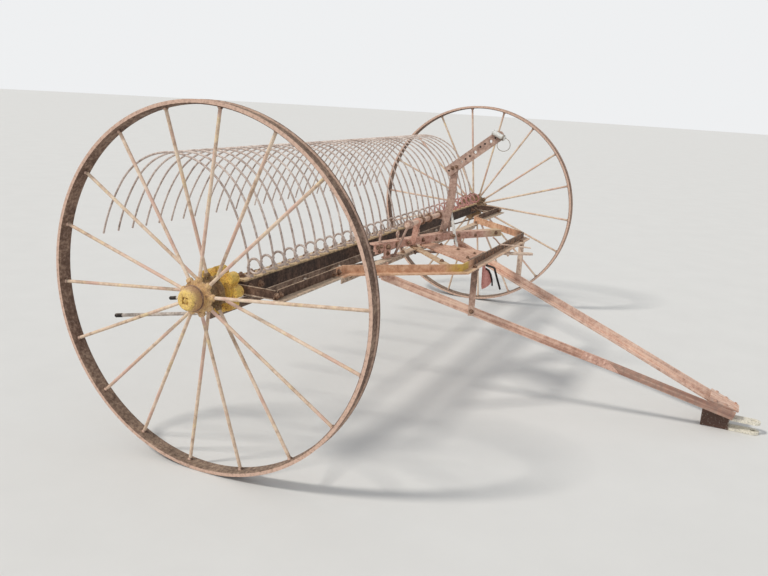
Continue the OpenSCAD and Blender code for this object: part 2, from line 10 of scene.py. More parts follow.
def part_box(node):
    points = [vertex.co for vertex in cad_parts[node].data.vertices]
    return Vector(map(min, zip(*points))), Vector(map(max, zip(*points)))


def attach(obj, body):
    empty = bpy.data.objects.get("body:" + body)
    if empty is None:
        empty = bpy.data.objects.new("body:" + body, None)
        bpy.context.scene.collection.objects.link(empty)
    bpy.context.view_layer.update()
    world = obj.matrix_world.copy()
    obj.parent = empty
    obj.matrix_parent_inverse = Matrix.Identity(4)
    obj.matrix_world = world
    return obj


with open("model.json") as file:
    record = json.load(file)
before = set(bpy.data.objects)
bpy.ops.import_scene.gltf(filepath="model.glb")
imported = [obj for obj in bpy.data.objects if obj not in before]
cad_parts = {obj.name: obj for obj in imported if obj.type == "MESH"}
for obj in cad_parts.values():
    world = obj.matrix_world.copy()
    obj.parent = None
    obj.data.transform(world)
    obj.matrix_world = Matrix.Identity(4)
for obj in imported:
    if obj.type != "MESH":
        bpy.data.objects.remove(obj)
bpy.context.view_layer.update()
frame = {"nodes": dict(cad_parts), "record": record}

# Places are in metres from the wheel axis' foot on the ground, as in the part's
# source: X to the right wheel, Y to the rear, Z up. at() puts them in the frame.
HUB_LO, HUB_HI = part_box("hub_left")
AXLE_Y = (HUB_LO[1] + HUB_HI[1]) / 2
AXIS_Z = (HUB_LO[2] + HUB_HI[2]) / 2
RAIL_TOP = AXIS_Z + 0.020                      # top of the rails' upright legs
CROSS_Z = AXIS_Z - 0.020                       # underside of the rails' flat legs
FLANGE_EDGE = (AXIS_Z - 0.015, AXIS_Z - 0.012)   # from a rail's flat leg to its upright one
HALF_TRACK = 1.598
SPOKE_COUNT = 18
TOOTH_COUNT = 32
TOOTH_PITCH = 0.088
FRONT_Y = -0.660                               # bolt line of the front rail's flat leg
REAR_Y = -0.240                                # bolt line of the cross bar's flat leg

UP = Vector((0, 0, 1))
DOWN = Vector((0, 0, -1))
AHEAD = Vector((0, -1, 0))
RIGHT = Vector((1, 0, 0))
LEFT = Vector((-1, 0, 0))

rng = random.Random(7)


def at(x, y, z):
    return Vector((x, y + AXLE_Y, z))


def turn(count):
    """Angles of a full turn in equal steps."""
    return [2 * math.pi * k / count for k in range(count)]


# ---- materials

def srgb(r, g, b):
    def lin(c):
        c = c / 255
        return c / 12.92 if c <= 0.04045 else ((c + 0.055) / 1.055) ** 2.4
    return (lin(r), lin(g), lin(b), 1.0)


class Nodes:
    """A material's node tree, with short calls for the nodes used here."""

    def __init__(self, name):
        self.mat = bpy.data.materials.new(name)
        self.mat.use_nodes = True
        self.tree = self.mat.node_tree
        self.tree.nodes.clear()
        self.bsdf = self.new("ShaderNodeBsdfPrincipled")
        self.link(self.bsdf.outputs["BSDF"], self.new("ShaderNodeOutputMaterial").inputs["Surface"])

    def new(self, kind, **values):
        node = self.tree.nodes.new(kind)
        for key, value in values.items():
            setattr(node, key, value)
        return node

    def link(self, a, b):
        self.tree.links.new(a, b)

    def put(self, socket, value):
        if hasattr(value, "is_output"):
            self.link(value, socket)
        else:
            socket.default_value = value

    def place(self, shift):
        mapping = self.new("ShaderNodeMapping")
        mapping.inputs["Location"].default_value = shift
        self.link(self.new("ShaderNodeTexCoord").outputs["Object"], mapping.inputs["Vector"])
        return mapping.outputs["Vector"]

    def noise(self, vec, scale, detail=5.0, rough=0.6, distort=0.0):
        n = self.new("ShaderNodeTexNoise")
        self.link(vec, n.inputs["Vector"])
        n.inputs["Scale"].default_value = scale
        n.inputs["Detail"].default_value = detail
        n.inputs["Roughness"].default_value = rough
        n.inputs["Distortion"].default_value = distort
        return n.outputs["Fac"]

    def pits(self, vec, scale):
        n = self.new("ShaderNodeTexVoronoi")
        self.link(vec, n.inputs["Vector"])
        n.inputs["Scale"].default_value = scale
        return n.outputs["Distance"]

    def math(self, op, a, b=0.0, clamp=False):
        n = self.new("ShaderNodeMath", operation=op, use_clamp=clamp)
        self.put(n.inputs[0], a)
        self.put(n.inputs[1], b)
        return n.outputs[0]

    def add(self, a, b):
        return self.math("ADD", a, b)

    def times(self, a, b):
        return self.math("MULTIPLY", a, b)

    def span(self, value, lo, hi, out_lo=0.0, out_hi=1.0):
        n = self.new("ShaderNodeMapRange")
        n.inputs["From Min"].default_value = lo
        n.inputs["From Max"].default_value = hi
        n.inputs["To Min"].default_value = out_lo
        n.inputs["To Max"].default_value = out_hi
        self.put(n.inputs["Value"], value)
        return n.outputs["Result"]

    def mix(self, fac, a, b):
        n = self.new("ShaderNodeMix", data_type="RGBA")
        self.put(n.inputs[0], fac)
        self.put(n.inputs[6], a)
        self.put(n.inputs[7], b)
        return n.outputs[2]

    def ramp(self, value, stops):
        n = self.new("ShaderNodeValToRGB")
        els = n.color_ramp.elements
        els[0].position, els[0].color = stops[0]
        els[1].position, els[1].color = stops[-1]
        for pos, col in stops[1:-1]:
            els.new(pos).color = col
        self.put(n.inputs["Fac"], value)
        return n.outputs["Color"]

    def axis(self, vec, which):
        s = self.new("ShaderNodeSeparateXYZ")
        self.link(vec, s.inputs[0])
        return s.outputs[which]


STREAK_FINE, STREAK_LONG = 95.0, 2.2           # noise scales across and along a bar


def streak_field(m, plan, drop):
    """Noise drawn out along the tongue bars, which leave Y by the angle plan and fall by drop."""
    here = m.place((0, 0, 0))
    x = m.math("ABSOLUTE", m.axis(here, "X"))
    y, z = m.axis(here, "Y"), m.axis(here, "Z")
    across = m.add(m.times(x, math.cos(plan)), m.times(y, -math.sin(plan)))
    run = m.add(m.times(x, math.sin(plan)), m.times(y, math.cos(plan)))
    rise = m.add(m.times(z, math.cos(drop)), m.times(run, -math.sin(drop)))
    point = m.new("ShaderNodeCombineXYZ")
    for k, value, scale in ((0, across, STREAK_FINE), (1, run, STREAK_LONG), (2, rise, STREAK_FINE)):
        m.link(m.times(value, scale), point.inputs[k])
    return m.noise(point.outputs[0], 1.0, 4.0, 0.55)


# The bands of a tint: (rise, full, fall, end) along an axis, in the frame's metres
FAR = 9.0


def above(rise, full):
    return (rise, full, FAR, FAR + 1)


def below(fall, end):
    return (-FAR - 1, -FAR, fall, end)


TONE_MID = 0.49                                # middle of the summed noises
PAINT_EDGE = 0.05                              # half width of the edge of a paint patch


def weathered(name, dark, mid, light, paint=None, cover=0.0, patch=7.0, rough=(0.62, 0.92),
              metallic=0.0, depth=0.0012, dust_and_top_light=0.25, dust_and_top_light_color=(196, 176, 150), shift=(0, 0, 0),
              tints=(), pale_side_faces=None, streaks=None, contrast=1.2, blotch=None):
    """Old metal: mottled rust in three tones, remains of paint, tints (some of them painted shade or
    painted highlight), paler side faces, dust on upward faces (where strong, a painted highlight) and
    pits.
    """
    m = Nodes(name)
    vec = m.place(shift)
    broad = m.noise(vec, patch, 6.0, 0.62, 0.4)
    mottle = m.noise(vec, patch * 9, 6.0, 0.66)
    speck = m.noise(vec, 420.0, 3.0, 0.7)
    pit = m.pits(vec, 170.0)
    tone = m.add(m.add(m.times(broad, 0.34), m.times(mottle, 0.44)), m.times(speck, 0.22))
    tone = m.add(m.times(m.math("SUBTRACT", tone, TONE_MID), contrast), TONE_MID)
    color = m.ramp(tone, [(0.33, srgb(*dark)), (TONE_MID, srgb(*mid)), (0.66, srgb(*light))])
    color = m.mix(m.times(m.span(speck, 0.60, 0.70), 0.35), color, srgb(*dark))
    roughness = m.span(mottle, 0.3, 0.7, rough[1], rough[0])
    height = m.add(m.add(m.times(mottle, 0.5), m.times(speck, 0.35)), m.times(pit, 0.25))
    if paint:
        field = m.add(m.times(m.noise(vec, patch * 1.7, 8.0, 0.7, 0.6), 0.7), m.times(mottle, 0.3))
        level = 0.5 + (0.5 - cover) * 0.42
        mask = m.span(field, level - PAINT_EDGE, level + PAINT_EDGE)
        shade = m.mix(m.span(mottle, 0.35, 0.65), srgb(*[c * 0.78 for c in paint]), srgb(*paint))
        color = m.mix(mask, color, shade)
        roughness = m.math("SUBTRACT", roughness, m.times(mask, 0.18))
        height = m.add(height, m.times(mask, 0.35))
    if blotch:
        spots = m.noise(m.place((shift[0] + 4, shift[1], shift[2] + 2)), patch * 1.3, 5.0, 0.6, 0.3)
        color = m.mix(m.span(spots, 0.50, 0.62, 0.0, 0.7), color, srgb(*blotch))
    if streaks:
        field = streak_field(m, *streaks)
        color = m.mix(m.span(field, 0.50, 0.66, 0.0, 0.75), color, srgb(*light))
        color = m.mix(m.span(field, 0.34, 0.48, 0.6, 0.0), color, srgb(*dark))
    for bands, tint_color, strength in tints:
        amount = m.span(mottle, 0.36, 0.58, 0.35, 1.0)
        for axis, (rise, full, fall, end) in bands.items():
            value = m.axis(m.place((0, 0, 0)), axis)
            amount = m.times(amount, m.span(value, rise, full))
            amount = m.times(amount, m.span(value, fall, end, 1.0, 0.0))
        color = m.mix(m.math("MULTIPLY", amount, strength, True), color, srgb(*tint_color))
    # paler on the faces that look along X, on both sides
    if pale_side_faces:
        face = m.math("ABSOLUTE", m.axis(m.new("ShaderNodeTexCoord").outputs["Normal"], "X"))
        face = m.times(m.span(face, 0.55, 0.9), m.span(mottle, 0.34, 0.52, 0.5, 0.85))
        color = m.mix(face, color, srgb(*pale_side_faces))
    # dust on upward faces; where strong and pale, as on the beam, it is a painted highlight on lit
    # tops
    if dust_and_top_light:
        level = m.axis(m.new("ShaderNodeNewGeometry").outputs["Normal"], "Z")
        dust_and_top_light_mask = m.times(m.span(level, 0.35, 1.0, 0.0, dust_and_top_light), m.span(mottle, 0.25, 0.6))
        color = m.mix(dust_and_top_light_mask, color, srgb(*dust_and_top_light_color))
    bump = m.new("ShaderNodeBump")
    bump.inputs["Strength"].default_value = 0.75
    bump.inputs["Distance"].default_value = depth
    m.link(height, bump.inputs["Height"])
    m.put(m.bsdf.inputs["Base Color"], color)
    m.put(m.bsdf.inputs["Roughness"], roughness)
    m.bsdf.inputs["Metallic"].default_value = metallic
    m.bsdf.inputs["Specular IOR Level"].default_value = 0.35
    m.link(bump.outputs["Normal"], m.bsdf.inputs["Normal"])
    return m.mat


MATS = {
    "rim": weathered("rim_rust", (60, 44, 37), (108, 84, 71), (168, 142, 122), patch=9.0,
                     dust_and_top_light=0.25, shift=(3, 1, 0), pale_side_faces=(218, 184, 164)),
    "spokes": weathered("spoke_rust", (140, 112, 92), (212, 186, 162), (240, 224, 204),
                        paint=(230, 206, 150), cover=0.3, patch=5.0, dust_and_top_light=0.15, shift=(5, 2, 1),
                        contrast=1.1, blotch=(206, 166, 152)),
    # the left hub: dark barrel (painted shade), brown cap, yellow cap face, tan flange
    "hub": weathered("hub_iron", (104, 70, 50), (194, 154, 112), (232, 204, 158),
                     paint=(236, 198, 128), cover=0.5, patch=22.0, dust_and_top_light=0.2, shift=(1, 7, 2),
                     contrast=1.5,
                     # painted shade: the barrel between the spoke flange and the ratchet is darkened
                     tints=[({"X": (-1.6345, -1.632, -1.556, -1.552)}, (62, 42, 30), 0.88),
                            ({"X": (-1.702, -1.690, -1.664, -1.660)}, (158, 112, 78), 0.7),
                            ({"X": below(-1.706, -1.700)}, (244, 208, 96), 0.55),
                            ({"X": (-1.662, -1.658, -1.637, -1.634)}, (206, 168, 130), 0.45)]),
    "far_hub": weathered("far_hub_iron", (62, 44, 34), (118, 90, 66), (176, 148, 112),
                         paint=(190, 158, 84), cover=0.22, patch=22.0, dust_and_top_light=0.3, shift=(1, 7, 4)),
    "ratchet": weathered("ratchet_iron", (104, 62, 38), (196, 148, 84), (236, 196, 118),
                         paint=(246, 204, 100), cover=0.62, patch=20.0, dust_and_top_light=0.15, shift=(2, 3, 9),
                         contrast=1.5),
    # painted highlight: pale along the beam's top, from the top tint and the strong pale dust
    "beam": weathered("beam_rust", (34, 24, 20), (58, 42, 34), (104, 78, 62), patch=8.0,
                      dust_and_top_light=0.95, dust_and_top_light_color=(214, 186, 148), shift=(0, 4, 4),
                      # painted highlight on the beam's top edge
                      tints=[({"Z": above(AXIS_Z + 0.022, AXIS_Z + 0.026)}, (220, 190, 146), 0.9)]),
    # reddish coils towards the right wheel
    "teeth": weathered("tooth_steel", (116, 97, 88), (188, 170, 160), (232, 220, 210), patch=7.0,
                       rough=(0.42, 0.75), metallic=0.1, dust_and_top_light=0.15, depth=0.0008, shift=(8, 8, 0),
                       tints=[({"X": above(0.35, 0.95), "Z": below(0.795, 0.83)},
                               (196, 104, 98), 0.75)]),
    # yellow at the left bend; painted shade darkens the middle of the upright leg, and a painted
    # highlight makes the flat leg pale
    "front": weathered("front_rail_rust", (120, 80, 62), (200, 152, 120), (234, 198, 164),
                       paint=(204, 178, 104), cover=0.08, patch=5.0, dust_and_top_light=0.3, shift=(6, 1, 3),
                       tints=[({"X": (-0.60, -0.56, -0.47, -0.44), "Z": above(*FLANGE_EDGE)},
                               (198, 170, 62), 0.85),
                              # painted shade on the middle of the upright leg
                              ({"X": (-0.42, -0.36, 0.56, 0.60), "Z": above(*FLANGE_EDGE)},
                               (48, 36, 31), 0.95),
                              # painted highlight on the flat leg
                              ({"X": (-0.60, -0.42, 0.56, 0.60), "Z": below(*FLANGE_EDGE)},
                               (232, 208, 186), 0.7)]),
    # side rails, cross bar and bearings: dark tones as painted shade, and a painted highlight makes
    # the flat leg pale
    "side": weathered("side_rail_rust_and_shade", (50, 36, 29), (88, 66, 54), (146, 116, 96), patch=6.0,
                      dust_and_top_light=0.7, dust_and_top_light_color=(206, 180, 152), shift=(9, 0, 3),
                      tints=[({"Z": below(*FLANGE_EDGE)}, (226, 204, 182), 0.8)]),
    # painted shade darkens the left bar past its bend; a painted highlight makes the right bar paler
    "tongue": weathered("tongue_rust", (136, 98, 84), (198, 154, 134), (236, 206, 184), patch=5.0,
                        dust_and_top_light=0.3, dust_and_top_light_color=(226, 196, 176), shift=(4, 6, 1),
                        streaks=(math.radians(16.65), math.radians(17.2)),
                        # painted shade on the left bar's front part
                        tints=[({"X": below(-0.06, -0.03), "Y": below(AXLE_Y - 1.31, AXLE_Y - 1.27)},
                                (118, 90, 82), 0.7),
                               # painted highlight along the right bar
                               ({"X": above(0.03, 0.06), "Y": below(AXLE_Y - 0.70, AXLE_Y - 0.60)},
                                (216, 198, 184), 0.5)]),
    "patch": weathered("patch_rust", (150, 110, 96), (208, 166, 148), (236, 208, 190), patch=9.0,
                       dust_and_top_light=0.25, dust_and_top_light_color=(232, 206, 188), shift=(4, 7, 1)),
    # white straps; the block is darkened as painted shade
    "clevis": weathered("clevis_paint", (136, 110, 88), (206, 190, 168), (236, 228, 212),
                        paint=(244, 237, 219), cover=0.84, patch=16.0, dust_and_top_light=0.1, shift=(7, 7, 7),
                        # painted shade on the block behind the straps
                        tints=[({"Y": above(AXLE_Y - 1.862, AXLE_Y - 1.846)}, (84, 60, 50), 1.8)]),
    "bar": weathered("lever_bar_rust", (126, 90, 78), (196, 150, 132), (230, 196, 178),
                     paint=(206, 184, 120), cover=0.06, patch=7.0, dust_and_top_light=0.3, shift=(2, 6, 5),
                     tints=[({"X": above(0.20, 0.28)}, (176, 166, 110), 0.6)]),
    # painted shade darkens the top of the left hanger; pale at the right
    "hanger": weathered("hanger_rust", (120, 92, 80), (186, 152, 134), (222, 196, 176), patch=8.0,
                        dust_and_top_light=0.2, shift=(2, 1, 5),
                        # painted shade on the left hanger's top
                        tints=[({"X": below(-0.1, 0.0), "Z": above(0.545, 0.60)}, (66, 46, 40), 0.85),
                               ({"X": above(0.0, 0.1)}, (226, 206, 186), 0.75)]),
    "shaft": weathered("shaft_rust", (150, 116, 98), (212, 178, 158), (238, 216, 198), patch=9.0,
                       dust_and_top_light=0.2, shift=(2, 4, 5)),
    "lever": weathered("lever_rust", (106, 84, 74), (168, 138, 124), (212, 186, 168),
                       paint=(206, 180, 108), cover=0.04, patch=8.0, dust_and_top_light=0.25, shift=(2, 9, 5)),
    "brace": weathered("brace_rust", (120, 88, 66), (184, 150, 118), (222, 196, 162),
                       paint=(206, 188, 128), cover=0.15, patch=8.0, dust_and_top_light=0.3, shift=(2, 8, 5)),
    "plate": weathered("plate_rust", (108, 70, 56), (182, 136, 114), (226, 186, 160), patch=9.0,
                       paint=(206, 182, 134), cover=0.06, dust_and_top_light=0.2, shift=(5, 8, 3)),
    "rod": weathered("rod_rust", (126, 112, 104), (188, 176, 166), (226, 218, 208), patch=9.0,
                     rough=(0.5, 0.8), metallic=0.1, dust_and_top_light=0.1, depth=0.0008, shift=(3, 6, 8)),
    "cleaner": weathered("cleaner_rust", (66, 50, 42), (116, 94, 80), (168, 144, 126), patch=7.0,
                         dust_and_top_light=0.35, shift=(3, 5, 8)),
    "bolt": weathered("bolt_rust", (66, 46, 36), (124, 94, 76), (180, 148, 122), patch=30.0,
                      rough=(0.5, 0.85), metallic=0.2, dust_and_top_light=0.3, depth=0.0006, shift=(5, 5, 2)),
    "weld": weathered("weld_bead", (70, 52, 44), (120, 96, 82), (170, 146, 128), patch=60.0,
                      rough=(0.5, 0.8), metallic=0.2, dust_and_top_light=0.2, depth=0.0008, shift=(5, 6, 2)),
    "white": weathered("pin_paint", (150, 130, 112), (204, 196, 184), (232, 228, 218),
                       paint=(240, 239, 233), cover=0.88, patch=30.0, dust_and_top_light=0.0, shift=(1, 1, 6)),
    "wire": weathered("wire_steel", (90, 78, 70), (150, 138, 126), (200, 190, 178), patch=30.0,
                      rough=(0.4, 0.7), metallic=0.5, dust_and_top_light=0.0, depth=0.0003, shift=(1, 5, 6)),
    "pink": weathered("pedal_rust", (134, 82, 74), (198, 132, 122), (226, 172, 160), patch=12.0,
                      dust_and_top_light=0.1, shift=(0, 3, 6)),
    "black": weathered("black_iron", (18, 15, 14), (34, 28, 26), (64, 52, 46), patch=12.0,
                       dust_and_top_light=0.2, shift=(2, 3, 6)),
}

# Nodes that take another material than their slot in the record has
SPECIAL = {
    "side_rail_left": "side", "side_rail_right": "side", "cross_bar": "side",
    "bearing_left": "side", "bearing_right": "side", "front_rail": "front",
    "brace_front": "brace", "brace_rear": "plate", "hanger_left": "hanger", "hanger_right": "hanger",
    "lever_bar": "bar", "lever_foot": "bar", "dump_shaft": "shaft", "shaft_stand": "lever",
    "rope_pin": "white", "cleaner_rods": "rod",
    "ratchet_right": "far_hub", "hub_right": "far_hub", "cap_right": "far_hub",
}
RECORD_SLOT = {s["node"]: s["material_slot"] for s in frame["record"]["subparts"]}
for node, obj in frame["nodes"].items():
    obj.data.materials.clear()
    obj.data.materials.append(MATS[SPECIAL.get(node) or RECORD_SLOT[node]])


# ---- mesh helpers

def frame_of(p, axis, spin=0.0):
    """Matrix that puts the origin at p and Z along the axis."""
    z = Vector(axis).normalized()
    x = z.orthogonal().normalized()
    y = z.cross(x)
    rot = Matrix((x, y, z)).transposed().to_4x4()
    return Matrix.Translation(p) @ rot @ Matrix.Rotation(spin, 4, "Z")


def lathe(bm, profile, p, axis, segments=20, spin=0.0):
    """Turned solid: (radius, height) pairs along the axis, from axis to axis or round a bore."""
    m = frame_of(p, axis, spin)
    rings = []
    for r, h in profile:
        if r < 1e-6:
            rings.append([bm.verts.new(m @ Vector((0, 0, h)))])
        else:
            rings.append([bm.verts.new(m @ Vector((r * math.cos(t), r * math.sin(t), h)))
                          for t in turn(segments)])
    if len(rings[0]) > 1:
        rings.append(rings[0])
    for a, b in zip(rings, rings[1:]):
        for k in range(segments):
            j = (k + 1) % segments
            if len(a) == 1 and len(b) > 1:
                bm.faces.new((a[0], b[k], b[j]))
            elif len(b) == 1 and len(a) > 1:
                bm.faces.new((a[k], b[0], a[j]))
            elif len(a) > 1:
                bm.faces.new((a[k], b[k], b[j], a[j]))


def peg(bm, r, lo, hi, p, axis, segments):
    """Plain cylinder from lo to hi along the axis."""
    lathe(bm, [(0, lo), (r, lo), (r, hi), (0, hi)], p, axis, segments)


def loop(mid, a, b, count):
    """Points of a circle or ellipse with the half axes a and b."""
    return [mid + a * math.cos(t) + b * math.sin(t) for t in turn(count)]


def tube(bm, points, radius, segments=10, closed=False):
    """Round rod along the points; the radius is a number or a function of the way along, 0 to 1."""
    pts = [Vector(p) for p in points]
    n = len(pts)
    dirs = []
    for i in range(n):
        a = pts[(i - 1) % n] if closed or i else pts[0]
        b = pts[(i + 1) % n] if closed or i < n - 1 else pts[-1]
        dirs.append((b - a).normalized())
    side = dirs[0].orthogonal().normalized()
    rings = []
    for p, d in zip(pts, dirs):
        side = (side - d * side.dot(d)).normalized()
        up = d.cross(side)
        r = radius(len(rings) / (n - 1)) if callable(radius) else radius
        rings.append([bm.verts.new(p + r * (math.cos(t) * side + math.sin(t) * up))
                      for t in turn(segments)])
    pairs = list(zip(rings, rings[1:])) + ([(rings[-1], rings[0])] if closed else [])
    for a, b in pairs:
        for k in range(segments):
            j = (k + 1) % segments
            bm.faces.new((a[k], a[j], b[j], b[k]))
    if not closed:
        bm.faces.new(rings[0][::-1])
        bm.faces.new(rings[-1])


def slab(bm, outline, thick, place):
    """Plate from an outline in its own plane; place() gives a point for (u, v, w)."""
    low = [bm.verts.new(place(u, v, 0)) for u, v in outline]
    high = [bm.verts.new(place(u, v, thick)) for u, v in outline]
    bm.faces.new(low[::-1])
    bm.faces.new(high)
    for k in range(len(outline)):
        j = (k + 1) % len(outline)
        bm.faces.new((low[k], low[j], high[j], high[k]))


def bolt(bm, p, axis, size=0.018, sides=6, height=None, washer=True, stud=True):
    """Old bolt head or nut: a worn prism on a washer, with the stud's end proud."""
    h = height or size * 0.55
    r = size / 2 / math.cos(math.pi / sides)
    spin = rng.uniform(0, math.pi)
    base = size * 0.10 if washer else 0.0
    if washer:
        lathe(bm, [(0, -0.0006), (size * 0.78, -0.0006), (size * 0.80, base * 0.6),
                   (size * 0.74, base), (0, base)], p, axis, 20)
    q = Vector(p) + Vector(axis).normalized() * base
    lathe(bm, [(0, 0), (r * 0.97, 0), (r, h * 0.15), (r, h * 0.82), (r * 0.86, h), (0, h)],
          q, axis, sides, spin)
    if stud:
        s = size * 0.29
        lathe(bm, [(0, h * 0.9), (s, h * 0.9), (s, h * 1.35), (s * 0.7, h * 1.5), (0, h * 1.5)],
              q, axis, 12)


def rivet(bm, p, axis, r, h):
    """Low domed rivet head."""
    dome = [(r * math.cos(t), h * math.sin(t)) for t in (0.25, 0.6, 0.95, 1.3)]
    lathe(bm, [(0, -0.0006), (r, -0.0006)] + dome + [(0, h)], p, axis, 16)


def bead(bm, a, b, r=0.0045):
    """Rough weld bead between two points."""
    a, b = Vector(a), Vector(b)
    n = max(4, int((b - a).length / 0.006))
    swell = [rng.uniform(0.75, 1.25) for _ in range(n + 1)]
    pts = [a.lerp(b, k / n) for k in range(n + 1)]
    tube(bm, pts, lambda t: r * swell[round(t * n)] * (0.5 if t in (0.0, 1.0) else 1.0), 8)


def finish_piece(name, bm, mat, body):
    """Make the mesh an object with its edges over 32 degrees sharp, on a body and in a slot."""
    bmesh.ops.recalc_face_normals(bm, faces=bm.faces)
    for f in bm.faces:
        f.smooth = True
    for e in bm.edges:
        if len(e.link_faces) == 2 and e.calc_face_angle(0) > math.radians(32):
            e.smooth = False
    mesh = bpy.data.meshes.new(name)
    bm.to_mesh(mesh)
    bm.free()
    obj = bpy.data.objects.new(name, mesh)
    bpy.context.scene.collection.objects.link(obj)
    mesh.materials.append(MATS[mat])
    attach(obj, body)


# ---- wheels: rivets in the tread, spoke heads and sockets, cap nut, hub washer

TREAD_R = 0.6948                               # where the rivets sit in the rim's groove
SPOKE_R = (0.044, 0.683)                       # from the hub's flange to the rim's inside
FLANGE_OUT = 0.038                             # hub flanges from the rim's middle
CAP_OUT = 0.103                                # the cap's face, likewise
HUB_OUT = 0.0655                               # the hub's end, likewise


def wheel_details(side, first, body, tag, iron, lost=None):
    """Small parts of a wheel; first is the angle of spoke 0 and lost the number of a missing one."""
    centre = at(HALF_TRACK * side, 0, AXIS_Z)
    out = Vector((side, 0, 0))
    heads = bmesh.new()
    sockets = bmesh.new()
    for i in range(SPOKE_COUNT):
        if i == lost:
            continue
        a = math.radians(first + 360 / SPOKE_COUNT * i)
        radial = Vector((0, math.sin(a), math.cos(a)))
        rivet(heads, centre + radial * TREAD_R, radial, 0.0085, 0.003)
        root = centre + radial * SPOKE_R[0] + out * (FLANGE_OUT if i % 2 else -FLANGE_OUT)
        tip = centre + radial * SPOKE_R[1]
        d = (tip - root).normalized()
        lathe(heads, [(0, 0), (0.0105, 0), (0.0105, 0.003), (0.0078, 0.008), (0, 0.0082)],
              tip - d * 0.0005, -d, 14)
        lathe(sockets, [(0, 0), (0.0135, 0), (0.0130, 0.010), (0.0100, 0.015), (0, 0.0152)],
              root + d * 0.0155, d, 16)
    finish_piece("spoke_heads_" + tag, heads, "rim", body)
    finish_piece("spoke_sockets_" + tag, sockets, iron, body)
    nut = bmesh.new()
    face = centre + out * CAP_OUT
    bolt(nut, face, out, 0.017, 4, 0.006, washer=False, stud=False)
    lathe(nut, [(0, 0), (0.0045, 0), (0.0045, 0.0078), (0.003, 0.0084), (0, 0.0084)], face, out, 12)
    finish_piece("cap_nut_" + tag, nut, iron, body)
    ring = bmesh.new()
    lathe(ring, [(0, 0), (0.0485, 0), (0.0495, 0.002), (0.0495, 0.006), (0.0462, 0.0075),
                 (0, 0.0075)], centre + out * HUB_OUT, out, 40)
    finish_piece("hub_washer_" + tag, ring, "bolt", body)


wheel_details(-1, 14.5, "wheel_left", "left", "hub", lost=14)
wheel_details(1, 7.0, "wheel_right", "right", "far_hub")

# ---- rake head: two bolts for each tooth's foot, and bolts over the spindle blocks

BEAM_TOP = AXIS_Z + 0.031
bm = bmesh.new()
for i in range(TOOTH_COUNT):
    x = (i - (TOOTH_COUNT - 1) / 2) * TOOTH_PITCH - 0.010
    bolt(bm, at(x, -0.0335, BEAM_TOP + 0.009), UP, 0.009, 4, 0.005, washer=False)
    bolt(bm, at(x, -0.0400, BEAM_TOP - 0.007), DOWN, 0.014, 6, 0.009)
for side in (-1, 1):
    for x in (1.395, 1.325):
        bolt(bm, at(side * x, -0.020, BEAM_TOP), UP, 0.022, 4)
        bolt(bm, at(side * x, -0.063, BEAM_TOP - 0.034), AHEAD, 0.020, 6)
finish_piece("tooth_bolts", bm, "bolt", "rake_head")

# ---- frame: bolts where the bars lap and seat, weld beads

bm = bmesh.new()
for side in (-1, 1):
    for x, sides in ((0.963, 6), (1.007, 6), (1.433, 4), (1.461, 4)):
        bolt(bm, at(side * x, -0.222, AXIS_Z), AHEAD, 0.017, sides)
    for x in (0.30, 0.88):
        bolt(bm, at(side * x, REAR_Y, CROSS_Z), UP, 0.015, 4)
        bolt(bm, at(side * x, REAR_Y, CROSS_Z - 0.006), DOWN, 0.015)
finish_piece("rail_bolts", bm, "bolt", "frame")

# The front face of the lever bar's upright leg, in plan: left end, bend and front end
LEVER_LEFT = Vector((-0.5589, -0.2010, 0))
LEVER_BEND = Vector((-0.0248, -0.3550, 0))
LEVER_FRONT = Vector((0.3186, -0.5660, 0))


def lever_face(x, z):
    """Point on the front face of the lever bar's leg, and the way it faces."""
    a, b = (LEVER_LEFT, LEVER_BEND) if x < LEVER_BEND.x else (LEVER_BEND, LEVER_FRONT)
    run = b - a
    q = a + run * ((x - a.x) / run.x)
    return at(q.x, q.y, z), Vector((run.y, -run.x, 0)).normalized()


def by_face(q, n, u, v, w=0.0):
    """Point by a spot q of that face: u along the bar, v up and w out along n."""
    return q + Vector((-n.y, n.x, 0)) * u + n * w + UP * v


bm = bmesh.new()
for x, size, sides in ((-0.40, 0.014, 4), (-0.20, 0.014, 4), (-0.09, 0.012, 6),
                       (0.06, 0.013, 4), (0.16, 0.012, 6), (0.285, 0.014, 4)):
    q, n = lever_face(x, RAIL_TOP + (0.020 if sides == 4 else 0.014))
    bolt(bm, q, n, size, sides)
for z, size, sides in ((RAIL_TOP + 0.017, 0.018, 4), (CROSS_Z + 0.024, 0.013, 6)):
    q, n = lever_face(-0.4735, z)
    bolt(bm, q + n * 0.0083, n, size, sides)
finish_piece("lever_bolts", bm, "bolt", "frame")

bm = bmesh.new()
for x, y, size, sides in ((-0.545, -0.538, 0.014, 4), (-0.305, -0.309, 0.014, 4),
                          (-0.270, -0.605, 0.012, 6), (-0.395, -0.612, 0.014, 6),
                          (-0.172, -0.395, 0.014, 6), (-0.226, -0.505, 0.012, 4)):
    bolt(bm, at(x, y, RAIL_TOP - 0.0003), UP, size, sides)
finish_piece("brace_bolts", bm, "bolt", "frame")

bm = bmesh.new()
bead(bm, at(-0.455, -0.6325, RAIL_TOP - 0.001), at(-0.210, -0.6325, RAIL_TOP - 0.001))
for side in (-1, 1):
    for x in (0.546, 0.530):
        top = at(side * x, -0.2235, CROSS_Z - 0.010)
        bead(bm, top - UP * 0.062, top, 0.004)
finish_piece("weld_beads", bm, "weld", "frame")

# ---- lever post, dump shaft's end and trip arm

POST_Y = -0.334
SHAFT = at(0, POST_Y + 0.028, RAIL_TOP + 0.125)   # on the dump shaft's axis
ARM_TILT = math.radians(38.5)
ARM_Y, ARM_Z = POST_Y + 0.013, AXIS_Z + 0.394  # upper rear corner of the trip arm
ARM_X = (-0.0103, -0.0003, 0.008)              # its left face, its right face, the post's right face
PIN_ALONG = (0.336, 0.026)                     # the rope pin's place on the arm


